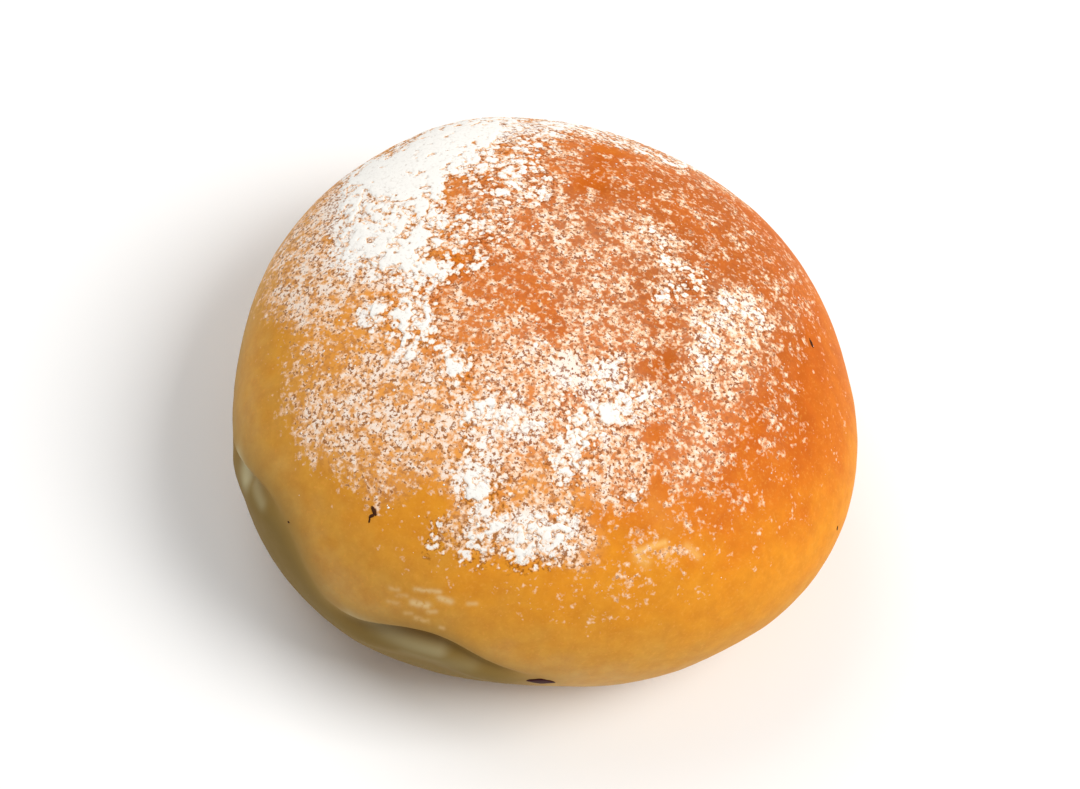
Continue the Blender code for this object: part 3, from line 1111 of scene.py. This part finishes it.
# %% Dust on the crust
HAZE_FLAKE = 0.85 * MM
HAZE_FLAKE_PUSH = 1.6
HAZE_FLAKE_WEIGHT = 0.5
HAZE_CLOUDS = ((3.4 * MM, 0.9, 2.0), (1.4 * MM, 1.1, 2.0), (0.5 * MM, 0.6, 1.0))
HAZE_SPREAD = 0.2
HAZE_LIMITS = (-0.16, 0.24)
HAZE_FULLEST = 0.7
WHITER_NEAR = (-1.5, 0.5)
WHITEST = 0.15
FILM_LIMITS = (-1.1, 0.9)
FILM = 0.11
ISLAND_FLAKE = 1.15 * MM
ISLAND_FLAKE_PUSH = 0.7
ISLAND_FLAKE_WEIGHT = 0.6
ISLAND_CLOUDS = ((3.6 * MM, 0.9, 2.0), (0.6 * MM, 0.5, 1.0))
ISLAND_SPREAD = 0.17
ISLAND_LIMITS = (-0.12, 0.05)
ISLAND_FULLEST = 0.97

flake = flakes(paint, place, HAZE_FLAKE, HAZE_FLAKE_PUSH)
lying = clouds(paint, place, flake, HAZE_FLAKE_WEIGHT, HAZE_CLOUDS)
haze = (lying + dusting * HAZE_SPREAD).clamped(*HAZE_LIMITS)
film = dusting.clamped(*FILM_LIMITS) * FILM
grain = flakes(paint, place, ISLAND_FLAKE, ISLAND_FLAKE_PUSH)
heaped = clouds(paint, place, grain, ISLAND_FLAKE_WEIGHT, ISLAND_CLOUDS)
heaped = heaped + wanted * ISLAND_SPREAD
island = heaped.clamped(*ISLAND_LIMITS)
fullest = HAZE_FULLEST + wanted.clamped(*WHITER_NEAR) * WHITEST
dust = paint.maths("MAXIMUM", haze * fullest + film, island * ISLAND_FULLEST)
colour = sugared(dust, colour)
print("nodes so far:", len(paint.tree.nodes))

# %% [markdown]
# ## Pits and shores
# A grain throws a small shadow beside it, and the crust looks darker there. Pits open between
# the grains where the haze is dense, fewer of them on the islands, and each island has a
# broken dark shore just outside its edge. Dust is rough and stands up a little from the
# crust, so the same values also drive the roughness and a small relief.

# %% Pits and shores
PIT_LIMITS = (0.475, 0.395)
PIT_DUST = (0.1, 0.35)
PIT_DUSTING = (-2.4, -0.8)
PIT_FILLED = 0.6
PIT_STRENGTH = 0.9
SHORE_OUTSIDE = (-0.26, -0.14)
SHORE_INSIDE = (0.0, -0.1)
SHORE_WANTED = (-2.6, -1.2)
SHORE_PITS = (0.55, 0.45)
CRUST_ROUGHNESS = 0.55
DUST_ROUGHNESS = 0.4
CRUST_GLOSS = 0.06
MOTTLE_RISE = 0.4
DUST_RISE = 0.5
PIT_DROP = 0.3
CRUST_RELIEF = (0.35, 0.12 * MM)

open_pits = dust.clamped(*PIT_DUST) * (1.0 - island * PIT_FILLED)
open_pits = open_pits * dusting.clamped(*PIT_DUSTING)
pit = pits(paint, place, *PIT_LIMITS) * open_pits
shore = heaped.clamped(*SHORE_OUTSIDE) * heaped.clamped(*SHORE_INSIDE)
shore = shore * wanted.clamped(*SHORE_WANTED) * pits(paint, place, *SHORE_PITS)
pit = paint.maths("MAXIMUM", pit, shore)
colour = (pit * PIT_STRENGTH).mix(colour, pit_shade_colour)
feed(paint, shader, "Base Color", colour)
feed(paint, shader, "Roughness", CRUST_ROUGHNESS + dust * DUST_ROUGHNESS)
shader.inputs["Specular IOR Level"].default_value = CRUST_GLOSS
ripple = mottle * MOTTLE_RISE + dust * DUST_RISE - pit * PIT_DROP
feed_relief(paint, shader, ripple, *CRUST_RELIEF)
print("nodes in the crust's finish:", len(paint.tree.nodes))

# %% [markdown]
# ## The finish of the sugar
# Deep sugar is plain white, and at its torn edges it is thin enough for the crust to tint it.
# The depth kept at each vertex mixes the two, and fine noise breaks it into powder. The pits
# between its grains are painted shade, brown at the edge and grey where more sugar lies at
# their bottom, and a broken band of painted shade darkens the torn edge.

# %% Finish of the sugar
POWDER_NOISE = (0.5 * MM, 2.0, 0.6)
DEPTH_GAIN = 1.7
POWDER_GAIN = 1.2
COVERED_AT = 0.9
LEAST_WHITE = 0.3
PIT_SHADE_GREY = srgb(140, 114, 88)
DEEP_PIT_LIMITS = (0.45, 0.37)
DEEP_PIT_FILLED = 0.9
DEEP_PIT_STRENGTH = 0.7
EDGE_DEPTHS = (0.3, 0.0)
EDGE_POWDER = (0.55, 0.4)
EDGE_DARKNESS = 0.8
DEEP_PIT_DROP = 0.6
SUGAR_RELIEF = (0.4, 0.15 * MM)

paint, shader, place = start_finish(sugar_finish)
under, _ = bare_crust(paint, place)
powder = paint.noise(place, *POWDER_NOISE)
depth = attribute(paint, "depth")
amount = depth * DEPTH_GAIN + (powder - NOISE_MEAN) * POWDER_GAIN
amount = amount.clamped(0.0, COVERED_AT)
white = sugared(LEAST_WHITE + amount * (1 - LEAST_WHITE), under)
pit = pits(paint, place, *DEEP_PIT_LIMITS) * (1.0 - depth * DEEP_PIT_FILLED)
# a broken band at the torn edge of the layer is darkened as painted shade
edge = depth.clamped(*EDGE_DEPTHS) * powder.clamped(*EDGE_POWDER)
white = (pit * DEEP_PIT_STRENGTH).mix(white, depth.mix(PIT_SHADE_COLOUR, PIT_SHADE_GREY))
white = (edge * EDGE_DARKNESS).mix(white, PIT_SHADE_COLOUR)
feed(paint, shader, "Base Color", white)
shader.inputs["Roughness"].default_value = 0.95
shader.inputs["Specular IOR Level"].default_value = CRUST_GLOSS
feed_relief(paint, shader, powder - pit * DEEP_PIT_DROP, *SUGAR_RELIEF)
print("nodes in the sugar's finish:", len(paint.tree.nodes))

# %% [markdown]
# ## The finish of the flecks
# A burnt crumb is nearly black, and the drip of filling is a very dark red. An attribute
# tells them apart, so that one piece and one material serve both.

# %% Finish of the flecks
BURNT = srgb(70, 36, 14)
FILLING_RED = srgb(58, 8, 10)

paint, shader, place = start_finish(fleck_finish)
feed(paint, shader, "Base Color", attribute(paint, "red").mix(BURNT, FILLING_RED))
shader.inputs["Roughness"].default_value = 0.6
shader.inputs["Specular IOR Level"].default_value = 0.1

# %% [markdown]
# ## The camera
# The camera looks down on the bun from the front at 58 degrees and is rolled a little, as
# the photographer held it. Three turns one after another could do that, but their order is
# easily mixed up, so the three axes of the camera are worked out from the angles.

# %% Stand the camera
VIEW_ELEVATION = math.radians(58)
VIEW_ROLL = math.radians(18.2)
VIEW_DISTANCE = 347.2 * MM
VIEW_TARGET = Vector((-1.03, 0.0, 20.0)) * MM
VIEW_WIDTH = math.radians(28)
SENSOR_WIDTH = 36.0

backward = Vector((0, -math.cos(VIEW_ELEVATION), math.sin(VIEW_ELEVATION)))
level_right = Vector((1, 0, 0))
level_up = backward.cross(level_right)
right = math.cos(VIEW_ROLL) * level_right + math.sin(VIEW_ROLL) * level_up
up = -math.sin(VIEW_ROLL) * level_right + math.cos(VIEW_ROLL) * level_up
lens = bpy.data.cameras.new("camera")
lens.sensor_width = SENSOR_WIDTH
lens.lens = SENSOR_WIDTH / 2 / math.tan(VIEW_WIDTH / 2)
lens.clip_start = 0.01
camera = bpy.data.objects.new("camera", lens)
turned = Matrix((right, up, backward)).transposed().to_4x4()
camera.matrix_world = Matrix.Translation(VIEW_TARGET + backward * VIEW_DISTANCE) @ turned
bpy.context.scene.collection.objects.link(camera)
bpy.context.scene.camera = camera
print("lens in mm:", round(lens.lens, 1))

# %% [markdown]
# ## The floor
# The bun stands on plain white, as food often does in a catalogue. The floor is one large
# square, and it is declared as stage, so that it doesn't count as part of the bun.

# %% Lay the floor
FLOOR_HALF = 3.0
floor_finish = bpy.data.materials.new("floor")
_, floor_shader, _ = start_finish(floor_finish)
floor_shader.inputs["Base Color"].default_value = srgb(250, 250, 250)
floor_shader.inputs["Roughness"].default_value = 0.9
bm = bmesh.new()
bmesh.ops.create_grid(bm, x_segments=1, y_segments=1, size=FLOOR_HALF)
floor_mesh = bpy.data.meshes.new("floor")
bm.to_mesh(floor_mesh)
bm.free()
floor_mesh.materials.append(floor_finish)
floor = bpy.data.objects.new("floor", floor_mesh)
bpy.context.scene.collection.objects.link(floor)
floor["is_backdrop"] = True
print("side of the floor in metres:", 2 * FLOOR_HALF)

# %% [markdown]
# ## The lights
# A large soft light stands on the right, which leaves the lower left in shade, with a weaker
# one opposite and a pale surround. Lamps as large as these give the soft shadows of a window,
# where small ones would give hard edges.

# %% Set the lights


def soft_light(name, azimuth, elevation, distance, size, watts, tint):
    """A square light that faces the bun from this side."""
    lamp = bpy.data.lights.new(name, "AREA")
    lamp.shape = "SQUARE"
    lamp.size = size
    lamp.energy = watts
    lamp.color = tint
    light = bpy.data.objects.new(name, lamp)
    azimuth = math.radians(azimuth)
    elevation = math.radians(elevation)
    toward = Vector((
        math.cos(azimuth) * math.cos(elevation),
        math.sin(azimuth) * math.cos(elevation),
        math.sin(elevation),
    ))
    light.location = toward * distance
    light.rotation_euler = toward.to_track_quat("Z", "Y").to_euler()
    bpy.context.scene.collection.objects.link(light)


soft_light("key", 5, 54, 1.2, 0.7, 11.5, (1.0, 0.98, 0.95))
soft_light("fill", 150, 48, 1.4, 1.0, 7.0, (0.98, 0.99, 1.0))
world = bpy.data.worlds.new("surround")
world.use_nodes = True
world.node_tree.nodes["Background"].inputs["Color"].default_value = (1, 1, 1, 1)
world.node_tree.nodes["Background"].inputs["Strength"].default_value = 0.36
bpy.context.scene.world = world
bpy.context.scene.view_settings.view_transform = "Standard"

# %% [markdown]
# ## Sizes
# The box of the finished model is printed beside that of the solid, so that the two can be
# compared.

# %% Print the sizes and finish
boxes = {
    "cad": [list(corner) for corner in SOLID_BOX],
    "visual": [list(corner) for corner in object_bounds()],
}
for name, (low, high) in boxes.items():
    print("size in mm of", name, [round((b - a) / MM, 1) for a, b in zip(low, high)])
